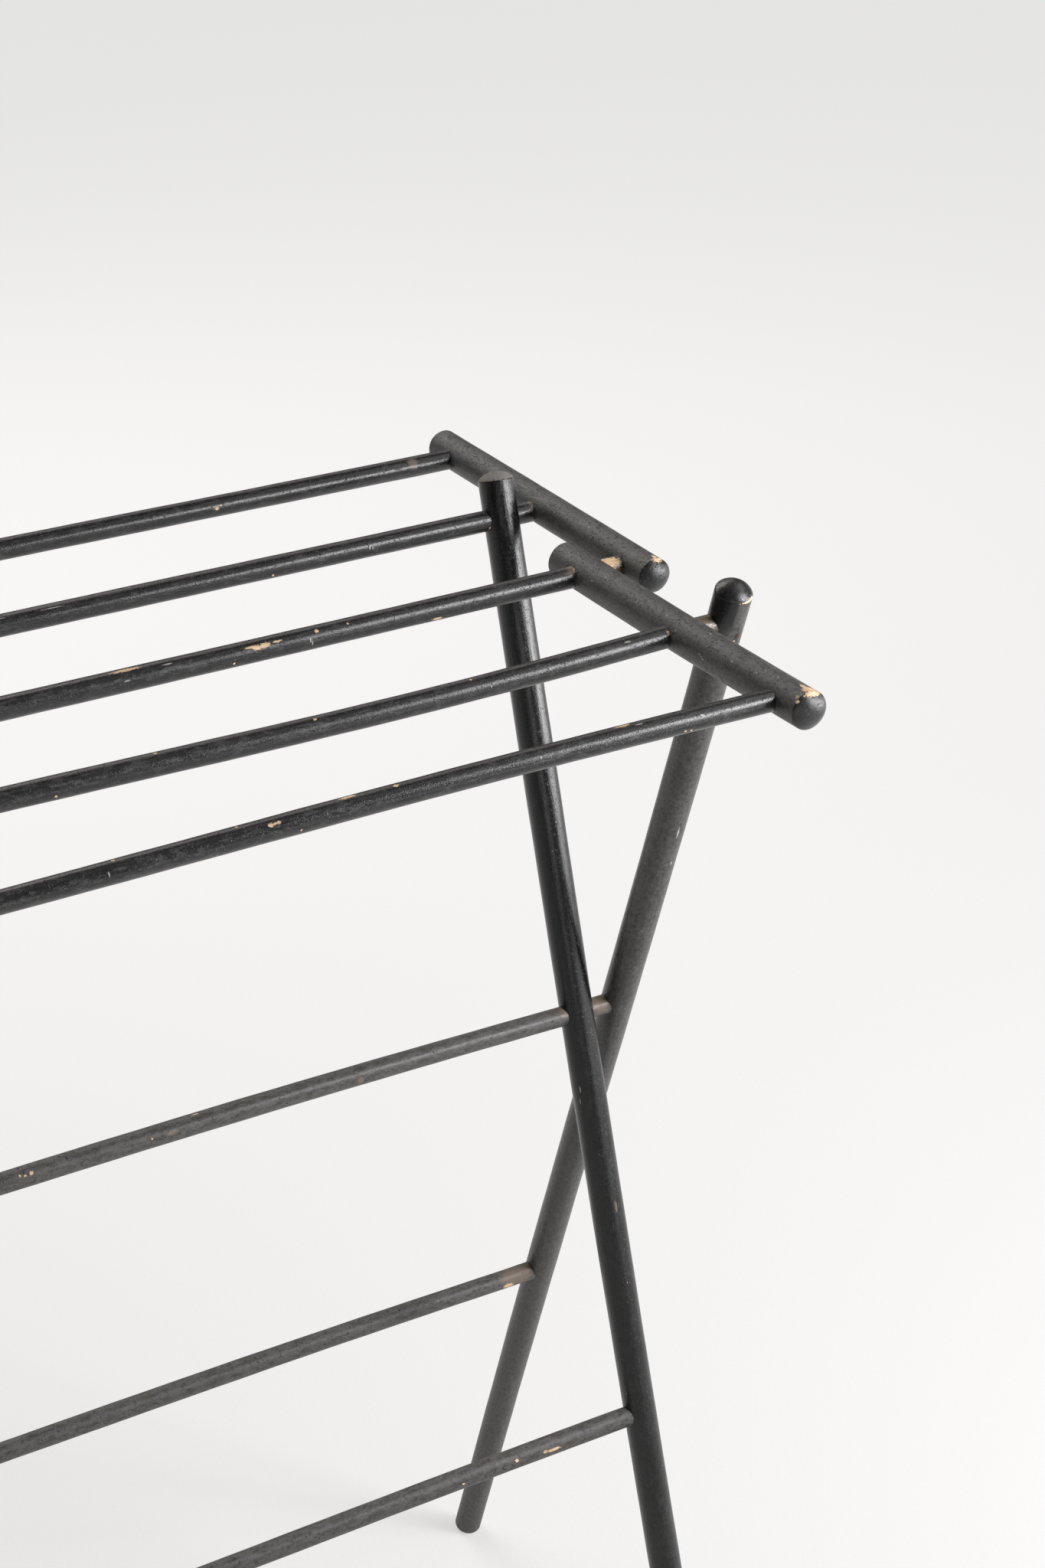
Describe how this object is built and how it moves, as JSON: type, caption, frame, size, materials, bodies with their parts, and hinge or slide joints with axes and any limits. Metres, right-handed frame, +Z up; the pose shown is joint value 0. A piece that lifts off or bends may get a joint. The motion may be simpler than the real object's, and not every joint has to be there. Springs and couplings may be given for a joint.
{
  "type": "folding dowel towel rack",
  "caption": "Free-standing folding rack of black-painted wooden dowels: crossed legs on a scissor rod carry two hinged half racks of long rods for towels or laundry.",
  "frame": {"origin": "on the floor, under the middle of the open rack", "axes": "+X along the rods, to the right seen from the front; +Y to the back; +Z up"},
  "size_m": [0.681, 0.45, 0.8718],
  "materials": {
    "leg_paint": "satin black paint on wood, worn",
    "rail_paint": "matte black paint on wood, worn",
    "rod_paint": "semi-gloss black paint on wood, chipped",
    "brad_steel": "rusty dark steel"
  },
  "bodies": {
    "inner_legs": {"leg_inner_right": "leg_paint", "leg_inner_left": "leg_paint", "stretcher_front": "rod_paint", "brads_stretcher_front": "brad_steel"},
    "outer_legs": {"leg_outer_right": "leg_paint", "leg_outer_left": "leg_paint", "rod_scissor": "rod_paint", "rod_front_pivot": "rod_paint", "stretcher_rear": "rod_paint", "brads_rod_scissor": "brad_steel", "brads_rod_front_pivot": "brad_steel", "brads_stretcher_rear": "brad_steel"},
    "back_rack": {"rail_back_right": "rail_paint", "rail_back_left": "rail_paint", "rod_back": "rod_paint", "rod_back_pivot": "rod_paint", "brads_rod_back": "brad_steel", "brads_rod_back_pivot": "brad_steel"},
    "front_rack": {"rail_front_right": "rail_paint", "rail_front_left": "rail_paint", "rod_middle": "rod_paint", "rod_front": "rod_paint", "brads_rod_middle": "brad_steel", "brads_rod_front": "brad_steel"}
  },
  "joints": [
    {"name": "scissor_pivot", "type": "hinge", "parent": "inner_legs", "child": "outer_legs", "pos_m": [0, 0, 0.54622], "axis": [-1, 0, 0], "range_deg": [0, 32.29]},
    {"name": "back_rack_pivot", "type": "hinge", "parent": "inner_legs", "child": "back_rack", "pos_m": [0, 0.1, 0.84493], "axis": [-1, 0, 0], "range_deg": [0, 98.68]},
    {"name": "front_rack_pivot", "type": "hinge", "parent": "outer_legs", "child": "front_rack", "pos_m": [0, -0.1, 0.84493], "axis": [1, 0, 0], "range_deg": [0, 98.68]}
  ],
  "couplings": [
    {"joint": "back_rack_pivot", "follows": "scissor_pivot", "ratio": 3.056},
    {"joint": "front_rack_pivot", "follows": "scissor_pivot", "ratio": 3.056}
  ]
}
